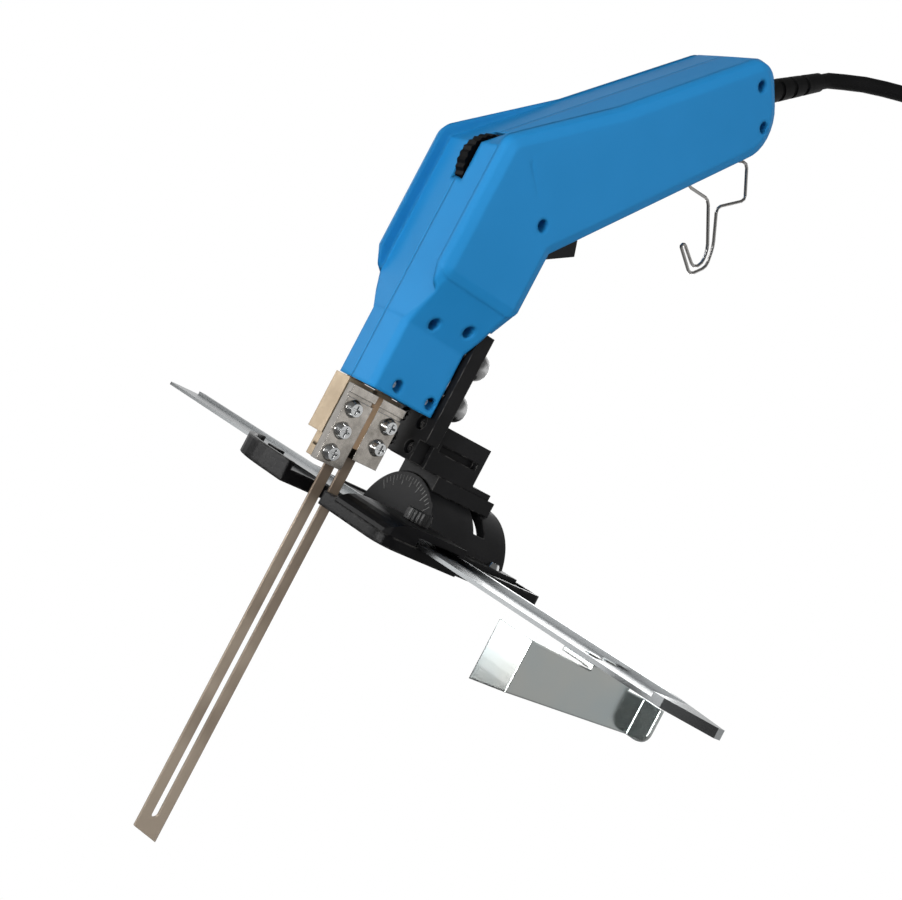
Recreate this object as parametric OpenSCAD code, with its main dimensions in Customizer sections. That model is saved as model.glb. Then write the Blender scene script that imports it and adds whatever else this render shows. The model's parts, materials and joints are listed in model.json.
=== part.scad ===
// Hand-held electric hot knife for rigid foam, with a depth-set bracket, a bevelling sled and a rip guide.
// Frame: +X runs back towards the handle, +Y away from the clamp screws, +Z up.
// Origin: on the plane of the sled's sole, where the blade passes through it.

/* [Blade] */
// Width of the blade across both legs
blade_w = 12; // [10:0.5:14]
// Thickness of the blade strip
blade_t = 1; // [0.6:0.1:1.4]
// Depth of the blade's front corner below the sole
blade_depth = 139; // [90:1:200]
// Extra length of the blade at its rear corner
blade_tip = 5; // [0:0.5:10]
// Width of the slot between the legs
blade_slot = 2.8; // [2.6:0.1:3.4]

/* [Terminals] */
// Length of a terminal block along the blade's width
terminal_l = 12.3; // [11:0.1:13]
// Thickness of a terminal block across the tool
terminal_w = 10; // [8:0.5:10.5]
// Height of the front terminal block's underside above the sole
terminal_front_z = 14; // [13:0.5:16]
// Height of the rear terminal block's underside above the sole
terminal_rear_z = 19.5; // [18:0.5:22]
// Thickness of a clamp plate
clamp_plate_t = 4; // [3:0.25:5]
// Diameter of a clamp screw's head
clamp_head_d = 7; // [6:0.25:7.5]

/* [Housing] */
// Width of the nose across the tool
nose_w = 24; // [23:0.5:27]
// Reach of the nose in front of the blade's middle
nose_front = 12.4; // [12:0.1:14]
// Reach of the nose behind the blade's middle
nose_back = 21; // [20.5:0.25:23]
// Height of the nose's lower rim above the sole
nose_z = 47; // [46:0.5:50]
// Width of the body across the tool
body_w = 47; // [44:0.5:50]
// Width of the grip's tail across the tool
tail_w = 43; // [41:0.5:46]
// Reach of the rims in front of the blade's middle
body_front = 17; // [16:0.25:18.5]
// Reach of the body behind the blade's middle
body_back = 26.2; // [25.5:0.1:28]
// Height at which the body starts
body_z = 92; // [90:0.5:95]
// Height of the bend between the body's front and the top of the grip
bend_z = 141.5; // [138:0.5:146]
// Slope of the grip above the level
grip_slope = 46; // [42:0.5:50]
// Depth of the grip from its top to its underside, next to the body
grip_depth = 45; // [43:0.5:48]
// Length of the grip's top from the bend to its rear end
grip_l = 145; // [138:1:160]
// Wall of the housing shells
wall = 2.4; // [2:0.1:2.8]

/* [Bracket] */
// Width of the bracket arm
arm_w = 28; // [26:0.5:32]
// Thickness of the bracket arm
arm_t = 6.5; // [5.5:0.25:8]
// Travel of the depth setting
depth_travel = 7; // [5:0.5:7]
// Diameter of the domed bracket screws' heads
dome_d = 11; // [10:0.5:12]

/* [Sled] */
// Thickness of the sled's plate
plate_t = 4.4; // [4:0.1:5]
// Reach of the sled towards the guide
sled_near = 52; // [48:1:56]
// Reach of the sled away from the guide
sled_far = 70; // [62:1:74]
// Reach of the sled behind the blade's middle
sled_back = 81.5; // [80:0.5:90]
// Radius of the bevel drum
drum_r = 25; // [24:0.5:25.5]
// Length of the bevel drum
drum_l = 43.5; // [42:0.5:44]

/* [Rip guide] */
// Width of the guide ruler
ruler_w = 20; // [18:0.5:20]
// Thickness of the guide ruler
ruler_t = 3; // [2.6:0.1:3.2]
// Length of the guide ruler
ruler_l = 354; // [300:1:400]
// Distance from the blade's middle to the fence
fence_y = 145; // [130:1:160]
// Length of the fence along the cut
fence_l = 58; // [50:1:66]
// Height of the fence
fence_h = 16; // [12:0.2:20]
// Length of the fence's bent front end
fence_end = 14.5; // [10:0.5:18]
// Thickness of the fence's sheet
fence_t = 1.5; // [1:0.1:2]

/* [Controls] */
// Radius of the heat dial
dial_r = 13.4; // [12.8:0.2:13.6]
// Width of the heat dial
dial_w = 5; // [4:0.25:6]
// Width of the trigger
trigger_w = 12; // [10:0.5:14]
// Travel of the trigger
trigger_travel = 5; // [3:0.5:5.5]
// Diameter of the hook's wire
hook_d = 1.6; // [1.4:0.1:1.8]

/* [Cord] */
// Diameter of the mains lead
cord_d = 7; // [6.5:0.1:7.2]
// Turns in the tied coil
coil_turns = 6.25; // [4.25:1:6.25]
// Length of the strain relief boot
boot_l = 50; // [44:1:56]

/* [Hidden] */

// Overrun of every cut past the face it opens
over = 1;
// Gap between faces that slide on each other
slip = 0.1;
// Radial clearance of a screw in its hole
screw_gap = 0.15;
// Facets of a hull's round corners, and steps of a drawn arc in degrees
soft_fn = 32;
arc_step = 15;
sweep_step = 10;
// Top of a pan head against its foot, and a cross recess's reach and width against the head
pan_share = 0.72;
cross_shares = [0.5, 0.1];

// Frame of the grip: along its top, and square to it upwards
grip_along = [cos(grip_slope), 0, sin(grip_slope)];
grip_out = [-sin(grip_slope), 0, cos(grip_slope)];
// Point on the grip from its distance along the slope and its height over the grip's own zero
function grip_point(a, n, y) = a * grip_along + n * grip_out + [0, y, 0];
// The grip's top, underside and rear end in that frame
grip_top = body_front * sin(grip_slope) + bend_z * cos(grip_slope);
grip_low = grip_top - grip_depth;
grip_front = bend_z * sin(grip_slope) - body_front * cos(grip_slope);
grip_back = grip_front + grip_l;

// Rounds of the housing
half_w = body_w / 2;
half_tail = tail_w / 2;
half_nose = nose_w / 2;
edge_r = 5;
edge_in = (1 - cos(45)) * edge_r;
body_r = 6;
bend_r = 8;
tail_top_r = 11;
tail_low_r = 19;
nose_corner = 2;
// Height of the crown along the parting line
crown = 1.4;
// Distance of the channel's edges from the parting line, on the body and at the tail
channel_half = half_w - edge_r + edge_in / 5;
channel_tail = half_tail - edge_r + edge_in / 5;
// Depth of the channel's edges under its crowned middle, on the front and along the top
front_step = 2.4;
spine_step = 1;
// Heights of the rims at the bend and of the underside at the tail over the grip's straight lines
bend_rise = 4.2;
bend_share = 0.42;
tail_lift = 5.2;
// Height of the flare's foot
flare_z = 74;
flare_slab = 1;
// Clear height under the flare's rear for the bracket arm
shelf_drop = 6;
shelf_z = body_z - shelf_drop;
// Corner of the body's rear and the grip's underside, in the grip's frame
throat_n = grip_low + body_r;
throat_a = (body_back - body_r + throat_n * sin(grip_slope)) / cos(grip_slope);
// Corner circle from its place in the grip's frame: distance from the front, height, radius, half width
function grip_corner(a, n, r, half) = let (p = grip_point(a, n, 0)) [p.x, p.z, r, half];
// Height of a corner circle's middle at the front of the body, from its height in the grip's frame
function front_z(n, r) = (n + sin(grip_slope) * (r - body_front)) / cos(grip_slope);
// Corner circles of the body, with its top raised at the bend
function body_corners(rise) = [
    [-body_front + body_r, body_z + body_r, body_r, half_w],
    [body_back - body_r, body_z + body_r, body_r, half_w],
    grip_corner(throat_a, throat_n, body_r, half_w),
    [-body_front + bend_r, front_z(grip_top + rise - bend_r, bend_r), bend_r, half_w]];
// Corner circles of the ridge that carries the raised rims from the bend into the grip's top
ridge_corners = [
    body_corners(bend_rise)[3],
    grip_corner(grip_front + bend_share * grip_l, grip_top - bend_r, bend_r,
        half_w - bend_share * (half_w - half_tail))];
// Corner circles of the grip
grip_corners = [
    grip_corner(grip_front + 2 * bend_r, grip_top - bend_r, bend_r, half_w),
    grip_corner(throat_a, throat_n, body_r, half_w),
    grip_corner(grip_back - tail_low_r, grip_low + tail_lift + tail_low_r, tail_low_r, half_tail),
    grip_corner(grip_back - tail_top_r, grip_top - tail_top_r, tail_top_r, half_tail)];

// Screws that hold the two shells together: place in X and Z, depth of the recess
shell_screw_r = 1.4;
shell_head_r = 2.2;
shell_head_t = 2;
recess_r = 2.5;
boss_r = 3.5;
screw_tail = 2;
nose_screw_low = 4.6;
nose_screw_in = 5;
front_screw_x = -1.1;
flare_screws = [[-1, 78], [13.3, 82]];
body_screw_x = 14.8;
body_screw_in = 12.5;
tail_screw_in = 10.3;
tail_screw_drops = [11, 28];
// Strain relief's axis: its height at the grip's rear end and its tilt below the grip's slope
boot_drop = 19.4;
boot_n = grip_top - boot_drop;
boot_tilt = 7;
shell_screws = concat(
    [for (x = [front_screw_x, nose_back - nose_screw_in]) [x, nose_z + nose_screw_low, half_nose]],
    [for (f = flare_screws) [f[0], f[1], half_nose]],
    [[body_screw_x, bend_z - body_screw_in, half_w]],
    [for (d = tail_screw_drops)
        let (p = grip_point(grip_back - tail_screw_in, grip_top - d, 0)) [p.x, p.z, half_tail]]);

// Blade and its clamps
block_air = 0.4;
block_gap = blade_slot - block_air;
block_in = block_gap / 2;
block_out = block_in + terminal_l;
block_top = nose_z - block_air;
step_z = 23.5;
step_in = 2.5;
step_y = 3.5;
blade_sink = 2;
blade_top = block_top - blade_sink;
slot_end = 6;
clamp_far = blade_t / 2;
clamp_near = clamp_far + clamp_plate_t;
clamp_screw_r = 2;
clamp_head_t = 2.6;
clamp_screw_air = 1;
clamp_screw_x = blade_w / 2 + clamp_screw_air + clamp_screw_r;
clamp_top_in = 10;
clamp_pitch = 9;
clamp_screw_z = block_top - clamp_top_in;
clamp_cap = 1.6;
tang_l = 4.8;
tang_x = 7.2;
tang_w = 6;
tang_rise = 22;
tang_top = nose_z + tang_rise;
tang_in = 2;
tang_y = clamp_far + tang_in;
insulator_gap = 0.25;
insulator_z = nose_z + tang_in;
insulator_h = 16;

// Transformer
core_l = 29.5;
coil_side = 4;
core_air = 0.6;
core_w = body_w - 2 * (wall + coil_side + core_air);
core_h = 28;
core_x = wall - nose_front + core_l / 2 + core_air / 2;
core_z = body_z + wall;
core_leg = 7;
core_window = (core_l - 3 * core_leg) / 2;
core_back = 5;
rib_t = 2;
coil_round = 3;
bar_w = 4;

// Heat dial and board
dial_set = 11.5;
dial_drop = 2.3;
dial_pos = [-nose_front - crown + dial_set, 0, bend_z - dial_drop];
dial_gap = 1;
dial_ribs = 30;
dial_rib_depth = 0.6;
dial_shaft_r = 3;
pot_r = 7.5;
pot_t = 5;
board_t = 1.6;
board_l = 14;
board_h = 18;
board_drop = 5;
board_post_r = 2.5;

// Trigger and switch, in the grip's frame
trigger_set = 24.3;
trigger_a0 = grip_front + trigger_set;
trigger_l = 18;
trigger_front = 6.8;
trigger_drop = 10.8;
trigger_heel = 5;
trigger_toe = 2.5;
trigger_gap = 0.4;
trigger_lip = 2;
switch_h = 18;
switch_l = 26;
switch_w = 18;
switch_pad = 1;
switch_fore = 1.5;

// Cord entry inside the grip
clamp_bar_l = 10;
clamp_bar_h = 5;
clamp_bar_in = 26;
cable_screw_r = 1.5;
cable_screw_pitch = 12;

// Strain relief
boot_r0 = 5.8;
boot_r1 = 4.2;
boot_collar_r = 7;
boot_in = 6.4;
boot_collar_t = 2.5;
boot_ribs = 5;
boot_rib_w = 2.4;
boot_rib_share = 0.5;
boot_pitch = boot_l / (boot_ribs + 1);
boot_rib_depth = 0.7;

// Hook, in the grip's frame
lug_hang = 5;
hook_n = grip_low + tail_lift - lug_hang;
lug_l = 4.5;
lug_r = 2.2;
lug_in = [31, 15];
lug_a = [for (d = lug_in) grip_back - d];
lug_rise = 12;
hook_gap = 0.08;
hook_skin = 0.05;
hook_drop = 43;
hook_reach = 8;
hook_strand = 2.4;
hook_shoulder = 13;
hook_rise = 15;
hook_sag = 18;
hook_tail = 12.5;
hook_sides = 8;

// Bracket
arm_x = nose_back + slip;
arm_top = shelf_z - over;
arm_drop = 9;
arm_low = nose_z - arm_drop;
bracket_screw_r = 2.5;
dome_h = 8;
bracket_screw_y = 8;
bracket_screw_in = 5;
bracket_screw_top = arm_top - depth_travel - bracket_screw_in;
bracket_screw_pitch = 18;
bracket_z = [bracket_screw_top - bracket_screw_pitch, bracket_screw_top];
foot_x = arm_x + arm_t;
foot_l = 27;
foot_w = 24;
foot_lift = 6;
foot_z0 = drum_r + foot_lift;
foot_z1 = nose_z;
foot_plate_t = 2.4;
foot_toe = 11;
foot_plate_l = foot_l + foot_toe;
foot_pocket = 3;
foot_screw_r = 1.6;
foot_screw_head = 2.8;
foot_screw_y = foot_w / 4;
foot_rows = [foot_z0 + foot_screw_head, foot_z1 - foot_screw_head];
tongue_w = foot_w - 4 * over;
tongue_drop = 9;
saddle_in = 9;
saddle_x = foot_x + saddle_in;
saddle_l = 33;
saddle_gap = 0.25;
drum_in = 2.5;
drum_x = sled_back - drum_l - drum_in;
drum_wall = 4;
drum_web = 3;
bevel_slot_w = 6.4;
bevel_share = 0.62;
bevel_x = drum_x + drum_l * bevel_share;
bevel_bolt_r = 2.5;
bevel_head_r = 4.5;
bevel_head_h = 3.6;
bevel_reach = 54;

// Sled
lip_near = 7;
lip_far = 14;
notch_w = 19;
notch_x = 7.4;
rim_w = 2.5;
rim_h = 1;
lobe_rim_h = 4.1;
corner_r = 8;
sled_waist = 48;
heel_r = 3;
ruler_x0 = 8;
ruler_z = plate_t + slip;
tunnel_gap = 0.3;
cover_h = 10.4;
cover_slope = 13;
cover_far = 18;
cover_wall = 3;
cover_back = ruler_x0 + ruler_w + cover_wall;
lock_y = -34;
lock_r = 2;
lock_head_r = 5;
lock_head_h = 4.5;
lock_ribs = 20;
lock_rib_depth = lock_head_r / 12;
lug_w = 4;
lug_far = 48;

// Ruler and fence
ruler_over = 39.5;
ruler_near = -fence_y - ruler_over;
ruler_far = ruler_near + ruler_l;
ruler_tip_x = 11;
ruler_tip_w = 3;
ruler_tip_front = 13;
ruler_tip_back = 23;
ruler_strip = 1.4;
ruler_lip = 2.4;
ruler_stop = 17;
fence_back = 10;
fence_x1 = ruler_x0 + ruler_w + fence_back;
fence_x0 = fence_x1 - fence_l;
fence_top = ruler_z;
fence_fall = 4;
fence_flare = 3;
fence_tail = 9;
fence_tab = 13;
fence_corner = 4;
rivet_r = 1.8;
rivet_head_r = 3;
rivet_head_t = 0.8;

// Cord: its route from the boot to the coil, chosen by hand
cord_r = cord_d / 2;
boot_along = [cos(grip_slope - boot_tilt), 0, sin(grip_slope - boot_tilt)];
boot_end = grip_point(grip_back, boot_n, 0) + boot_l * boot_along;
cord_route = [
    [148, -3.5, 271.5], [155, -9, 275], [162, -15, 277.5], [170, -21, 280], [178, -27, 281.5],
    [186, -33, 282.5], [194, -39, 283], [202, -44.5, 283], [210, -49, 283], [218, -52.5, 283],
    [226, -54.5, 283], [232, -55, 283]];
coil_start = [240, -55, 283];
coil_layers = 4;
coil_tail_share = 3.5;
coil_tail = coil_tail_share * cord_d;
coil_air = 0.7;
coil_pitch = cord_d + coil_air;
coil_r_share = 6.2;
coil_r = coil_r_share * cord_d;
coil_loop_rings = 24;
coil_sides = 6;
cord_sides = 10;
tie_w = 9;
tie_t = 1.2;
tie_gap = 0.5;

// Plug
plug_l = 38;
plug_w = 30;
plug_t = 14;
plug_neck = 10;
plug_r = 5;
pin_r = 2;
pin_l = 19;
pin_pitch = 18.6;

housing_blue = [0.14, 0.45, 0.72];
satin_black = [0.09, 0.09, 0.1];
zinc = [0.78, 0.8, 0.82];
brass = [0.72, 0.64, 0.46];
steel = [0.62, 0.6, 0.56];
copper = [0.72, 0.42, 0.26];

// Repeated shapes

// Puts a shape drawn with X along the grip and Z square to it at a place in the grip's frame
module on_grip(a, n, y) {
    translate(grip_point(a, n, y))
        rotate([0, -grip_slope, 0])
            children();
}

// Puts a shape drawn with X along the strain relief's axis, its zero at the grip's rear end
module on_boot() {
    on_grip(grip_back, boot_n, 0)
        rotate([0, boot_tilt, 0])
            children();
}

// One half of a soft-edged slab: circles joined in the XZ plane, thickened towards side
module soft_half(corners, inset, side) {
    r_edge = edge_r - inset;
    hull()
        for (c = corners)
            translate([c[0], 0, c[1]])
                rotate([side > 0 ? -90 : 90, 0, 0])
                    rotate_extrude($fn = soft_fn)
                        polygon(let (r = c[2] - inset, w = c[3] - inset) [
                            [0, 0],
                            [r, 0],
                            [r, w - r_edge],
                            [r - (1 - cos(45)) * r_edge, w - r_edge + sin(45) * r_edge],
                            [r - r_edge, w],
                            [0, w]]);
}

// Half of the nose's plan, from the parting line towards side, moved in by inset
function nose_points(inset, side) = let (
    c = max(nose_corner - inset / 2, nose_corner / 4),
    w = half_nose - inset) [
    [-nose_front - crown + inset, 0],
    [-nose_front + inset, side * (w - c)],
    [-nose_front + c + inset, side * w],
    [nose_back - c - inset, side * w],
    [nose_back - inset, side * (w - c)],
    [nose_back - inset, 0]];

module nose_plan(inset, side) {
    polygon(nose_points(inset, side));
}

// Half of the body's plan on the far side of the parting line
body_plan = [
    [-body_front, 0],
    [-body_front, half_w - edge_r],
    [-body_front + edge_in, half_w - edge_in],
    [-body_front + edge_r, half_w],
    [body_back - edge_r, half_w],
    [body_back - edge_in, half_w - edge_in],
    [body_back, half_w - edge_r],
    [body_back, 0]];

// Half of the flare that carries the nose's width out to the body
module flare_half(side) {
    hull() {
        translate([0, 0, flare_z])
            linear_extrude(flare_slab)
                nose_plan(0, side);
        translate([0, 0, body_z + body_r - flare_slab])
            linear_extrude(flare_slab)
                polygon([for (p = body_plan) [p.x, side * p.y]]);
    }
}

// Plug of space along Y at a point of the XZ plane
module bore_y(x, z, r, y0, y1) {
    translate([x, y0, z])
        rotate([-90, 0, 0])
            cylinder(r = r, h = y1 - y0, $fn = soft_fn);
}

// Recess for the screw's head and way through for its shank, on the screw-head side of the shells
module shell_bores(side) {
    for (s = shell_screws) {
        bore_y(s[0], s[1], shell_screw_r + screw_gap, -half_w - over, half_w - wall - screw_tail);
        if (side < 0)
            bore_y(s[0], s[1], recess_r, -half_w - over, -s[2] / 2);
    }
}

// Posts that the shell screws pull together
module shell_bosses(side) {
    for (s = shell_screws)
        bore_y(s[0], s[1], boss_r, side > 0 ? 0 : wall / 2 - s[2], side > 0 ? s[2] - wall / 2 : 0);
}

// Space taken by the dial, the trigger, the boot and the bracket screws
module shell_openings() {
    bore_y(dial_pos.x, dial_pos.z, dial_r + dial_gap, -dial_w / 2 - dial_gap, dial_w / 2 + dial_gap);
    on_grip(trigger_a0 - trigger_gap, grip_low - over, -trigger_w / 2 - trigger_gap)
        cube([trigger_l + 2 * trigger_gap, trigger_w + 2 * trigger_gap,
            wall + trigger_lip + trigger_travel + 2 * over]);
    on_boot()
        translate([boot_collar_t / 2 - boot_in, 0, 0])
            rotate([0, 90, 0])
                cylinder(r = boot_r0, h = boot_in + over, $fn = soft_fn);
    for (y = [-1, 1], z = bracket_z)
        translate([nose_back - wall - over, y * bracket_screw_y, z])
            rotate([0, 90, 0])
                cylinder(r = bracket_screw_r + screw_gap, h = wall + 2 * over, $fn = soft_fn);
}

// Channel between the rims, with the crowned spine as its floor
module spine_channel() {
    nose_flat = half_nose - nose_corner;
    translate([0, 0, flare_z + flare_slab])
        linear_extrude(bend_z - flare_z + 2 * bend_r)
            polygon([
                [-2 * body_front, -channel_half],
                [-nose_front - crown + front_step, -channel_half],
                [-nose_front, -nose_flat],
                [-nose_front - crown, 0],
                [-nose_front, nose_flat],
                [-nose_front - crown + front_step, channel_half],
                [-2 * body_front, channel_half]]);
    intersection() {
        on_grip(grip_front - 2 * bend_r, grip_top, 0)
            rotate([90, 0, 90])
                linear_extrude(grip_l + 4 * bend_r)
                    polygon([
                        [-channel_half, -spine_step],
                        [0, 0],
                        [channel_half, -spine_step],
                        [channel_half, 2 * bend_r],
                        [-channel_half, 2 * bend_r]]);
        on_grip(0, grip_top - bend_r, 0)
            linear_extrude(4 * bend_r)
                polygon([
                    [0, -channel_half],
                    [grip_front, -channel_half],
                    [grip_back, -channel_tail],
                    [2 * grip_back, -channel_tail],
                    [2 * grip_back, channel_tail],
                    [grip_back, channel_tail],
                    [grip_front, channel_half],
                    [0, channel_half]]);
    }
}

// Eyes under the grip that carry the hook
module hook_lugs() {
    for (a = lug_a)
        on_grip(a, hook_n, 0)
            rotate([0, 90, 0])
                difference() {
                    union() {
                        cylinder(r = lug_r, h = lug_l, $fn = soft_fn);
                        translate([-lug_rise, -lug_r, 0])
                            cube([lug_rise, 2 * lug_r, lug_l]);
                    }
                    translate([0, 0, -over])
                        cylinder(r = hook_d / 2 + hook_gap, h = lug_l + 2 * over, $fn = soft_fn);
                }
}

// Ribs that hold the switch
module shell_ribs(side) {
    reach = half_w - wall / 2;
    on_grip(trigger_a0 + trigger_l / 2 - rib_t, switch_n - rib_t, side > 0 ? switch_w / 2 : -reach)
        cube([2 * rib_t, reach - switch_w / 2, switch_h]);
}

// One housing shell: side is -1 for the half with the screw heads and 1 for the other
module housing_half(side) {
    clear = side > 0 ? [0, half_w + over] : [-half_w - over, 0];
    difference() {
        union() {
            difference() {
                union() {
                    translate([0, 0, nose_z])
                        linear_extrude(body_z - nose_z)
                            nose_plan(0, side);
                    flare_half(side);
                    soft_half(body_corners(bend_rise), 0, side);
                    soft_half(ridge_corners, 0, side);
                    soft_half(grip_corners, 0, side);
                }
                translate([0, 0, nose_z - over])
                    linear_extrude(body_z - nose_z + wall + 2 * over)
                        nose_plan(wall, side);
                difference() {
                    soft_half(concat(body_corners(0), [grip_corners[0]]), wall, side);
                    translate([-2 * body_front, -body_w, body_z])
                        cube([2 * body_front - nose_front + wall, 2 * body_w, bend_z]);
                }
                soft_half(grip_corners, wall, side);
            }
            shell_bosses(side);
            intersection() {
                shell_ribs(side);
                translate([-body_front, clear[0], body_z])
                    cube([body_front + grip_l, half_w + over, grip_l]);
            }
        }
        shell_bores(side);
        shell_openings();
        spine_channel();
        translate([nose_back, -body_w, nose_z - over])
            cube([body_back, 2 * body_w, shelf_z - nose_z + over]);
    }
}

// Pan-headed screw along +Y, its head's seat at the origin, with a cross recess
module pan_screw(head_r, head_t, shank_r, shank_l) {
    difference() {
        union() {
            rotate([90, 0, 0])
                cylinder(r1 = head_r, r2 = pan_share * head_r, h = head_t, $fn = soft_fn);
            rotate([-90, 0, 0])
                cylinder(r = shank_r, h = shank_l, $fn = soft_fn);
        }
        for (turn = [0, 90])
            rotate([0, turn, 0])
                translate([-cross_shares[0] * head_r, -head_t - over, -cross_shares[1] * head_r])
                    cube([2 * cross_shares[0] * head_r, head_t / 2 + over, 2 * cross_shares[1] * head_r]);
    }
}

// Knurled round bar along +Z
module knurled(r, h, ribs, depth) {
    linear_extrude(h)
        polygon([for (i = [0 : 2 * ribs - 1])
            let (a = 180 * i / ribs, q = r - (i % 2) * depth) [q * cos(a), q * sin(a)]]);
}

// Swept tubes: rings of points square to the path, carried along without twist

function unit(v) = v / norm(v);
function path_dir(p, i) = i == 0 ? unit(p[1] - p[0])
    : i == len(p) - 1 ? unit(p[i] - p[i - 1])
    : unit(unit(p[i + 1] - p[i]) + unit(p[i] - p[i - 1]));
function carry(v, t) = unit(v - (v * t) * t);

module tube(p, r, sides, first) {
    n = len(p);
    side = [for (i = 0, v = carry(first, path_dir(p, 0)); i < n;
        i = i + 1, v = i < n ? carry(v, path_dir(p, i)) : v) v];
    points = [for (i = [0 : n - 1], k = [0 : sides - 1])
        let (a = 360 * k / sides) p[i] + r * (cos(a) * side[i] + sin(a) * cross(path_dir(p, i), side[i]))];
    walls = [for (i = [0 : n - 2], k = [0 : sides - 1])
        let (a = i * sides + k, b = i * sides + (k + 1) % sides)
            each [[a, a + sides, b], [b, a + sides, b + sides]]];
    start = [for (k = [1 : sides - 2]) [0, k, k + 1]];
    last = (n - 1) * sides;
    end = [for (k = [1 : sides - 2]) [last, last + k + 1, last + k]];
    polyhedron(points, concat(walls, start, end));
}

// Path with its corners rounded: three points for each corner, within its share of the shorter leg
corner_leg_share = 0.45;
corner_cut_share = 0.29;
function rounded_path(p, r) = [for (i = [0 : len(p) - 1])
    each i == 0 || i == len(p) - 1 ? [p[i]]
        : let (u = unit(p[i - 1] - p[i]), w = unit(p[i + 1] - p[i]),
            c = min(r, corner_leg_share * norm(p[i - 1] - p[i]), corner_leg_share * norm(p[i + 1] - p[i])))
            [p[i] + c * u, p[i] + corner_cut_share * c * (u + w), p[i] + c * w]];

// Housing

module housing_right() {
    color(housing_blue) {
        housing_half(-1);
        intersection() {
            hook_lugs();
            translate([0, -half_w, 0])
                cube([2 * grip_l, half_w, 2 * grip_l]);
        }
    }
}

module housing_left() {
    color(housing_blue) {
        housing_half(1);
        intersection() {
            hook_lugs();
            cube([2 * grip_l, half_w, 2 * grip_l]);
        }
    }
}

module housing_screws() {
    color(zinc)
        for (s = shell_screws)
            translate([s[0], -s[2] / 2, s[1]])
                pan_screw(shell_head_r, shell_head_t, shell_screw_r, s[2] / 2 + half_nose / 2);
}

module nose_insulator() {
    color("ivory")
        difference() {
            translate([0, 0, insulator_z])
                linear_extrude(insulator_h)
                    polygon(let (e = wall + insulator_gap, p = nose_points(e, 1), q = nose_points(e, -1))
                        concat(p, [for (i = [len(q) - 2 : -1 : 1]) q[i]]));
            for (side = [-1, 1])
                translate([side * tang_x - tang_l / 2, tang_y, insulator_z - over])
                    cube([tang_l, tang_w, insulator_h + 2 * over]);
            for (s = shell_screws)
                bore_y(s[0], s[1], boss_r + insulator_gap, -half_w, half_w);
            for (y = [-1, 1], z = bracket_z)
                translate([nose_back - 2 * wall, y * bracket_screw_y, z])
                    rotate([0, 90, 0])
                        cylinder(r = bracket_screw_r + insulator_gap, h = 2 * wall, $fn = soft_fn);
        }
}

// Terminals and blade

module terminal(side, low_z) {
    difference() {
        union() {
            translate([side > 0 ? block_in : -block_out, clamp_far, step_z])
                cube([terminal_l, terminal_w, block_top - step_z]);
            translate([side > 0 ? block_in : -block_out + step_in, clamp_far, low_z])
                cube([terminal_l - step_in, terminal_w - step_y, step_z - low_z]);
            translate([side * tang_x - tang_l / 2, tang_y, block_top])
                cube([tang_l, tang_w, tang_top - block_top]);
        }
        clamp_holes(side, clamp_screw_r);
    }
}

// Rows of clamp screws: two on the rear block and three on the front one
function clamp_rows(side) = [for (k = [0 : side > 0 ? 1 : 2]) clamp_screw_z - k * clamp_pitch];

module clamp_holes(side, r) {
    for (z = clamp_rows(side))
        bore_y(side * clamp_screw_x, z, r, -clamp_near - over, clamp_far + terminal_w - step_y - over);
}

module clamp_plate(side, low_z) {
    difference() {
        translate([side > 0 ? block_in : -block_out, -clamp_near, low_z])
            cube([terminal_l, clamp_plate_t, block_top - clamp_cap - low_z]);
        clamp_holes(side, clamp_screw_r + screw_gap);
        translate([side * (block_in + block_out) / 2, -clamp_near, clamp_screw_z + clamp_head_d / 2 + clamp_cap / 2])
            cube([terminal_l + 2 * over, clamp_plate_t - 2 * over, clamp_cap], center = true);
    }
}

module front_terminal() {
    color(brass)
        terminal(-1, terminal_front_z);
}

module rear_terminal() {
    color(brass)
        terminal(1, terminal_rear_z);
}

module front_clamp_plate() {
    color(brass)
        clamp_plate(-1, terminal_front_z);
}

module rear_clamp_plate() {
    color(brass)
        clamp_plate(1, terminal_rear_z);
}

module clamp_screws() {
    shank_l = clamp_plate_t + blade_t + terminal_w / 2;
    color(zinc)
        for (side = [-1, 1], z = clamp_rows(side))
            translate([side * clamp_screw_x, -clamp_near, z])
                pan_screw(clamp_head_d / 2, clamp_head_t, clamp_screw_r - slip, shank_l);
}

module terminal_separator() {
    color("saddlebrown")
        translate([-block_in, -clamp_near, step_z])
            cube([block_gap, clamp_near + clamp_far + terminal_w, block_top - clamp_cap - step_z]);
}

module blade() {
    color(steel)
        rotate([90, 0, 0])
            translate([0, 0, -blade_t / 2])
                linear_extrude(blade_t)
                    difference() {
                        polygon([
                            [-blade_w / 2, blade_top],
                            [-blade_w / 2, -blade_depth],
                            [blade_w / 2, -blade_depth - blade_tip],
                            [blade_w / 2, blade_top]]);
                        translate([-blade_slot / 2, slot_end - blade_depth])
                            square([blade_slot, blade_depth + blade_top]);
                        translate([0, slot_end - blade_depth])
                            circle(d = blade_slot, $fn = soft_fn);
                    }
}

// Transformer and heavy-current bars

module transformer_core() {
    color("dimgray")
        translate([core_x, 0, core_z])
            difference() {
                translate([-core_l / 2, -core_w / 2, 0])
                    cube([core_l, core_w, core_h]);
                for (x = [-core_leg / 2 - core_window, core_leg / 2])
                    translate([x, -core_w / 2 - over, core_back])
                        cube([core_window, core_w + 2 * over, core_h - 2 * core_back]);
            }
}

module transformer_winding() {
    inner = core_leg / 2;
    outer = inner + core_window;
    reach = core_w / 2 + coil_side;
    color(copper)
        translate([core_x, 0, core_z + core_back])
            linear_extrude(core_h - 2 * core_back)
                difference() {
                    polygon([
                        [-outer, -reach + coil_round], [-outer + coil_round, -reach],
                        [outer - coil_round, -reach], [outer, -reach + coil_round],
                        [outer, reach - coil_round], [outer - coil_round, reach],
                        [-outer + coil_round, reach], [-outer, reach - coil_round]]);
                    square([2 * inner, core_w], center = true);
                }
}

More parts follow.
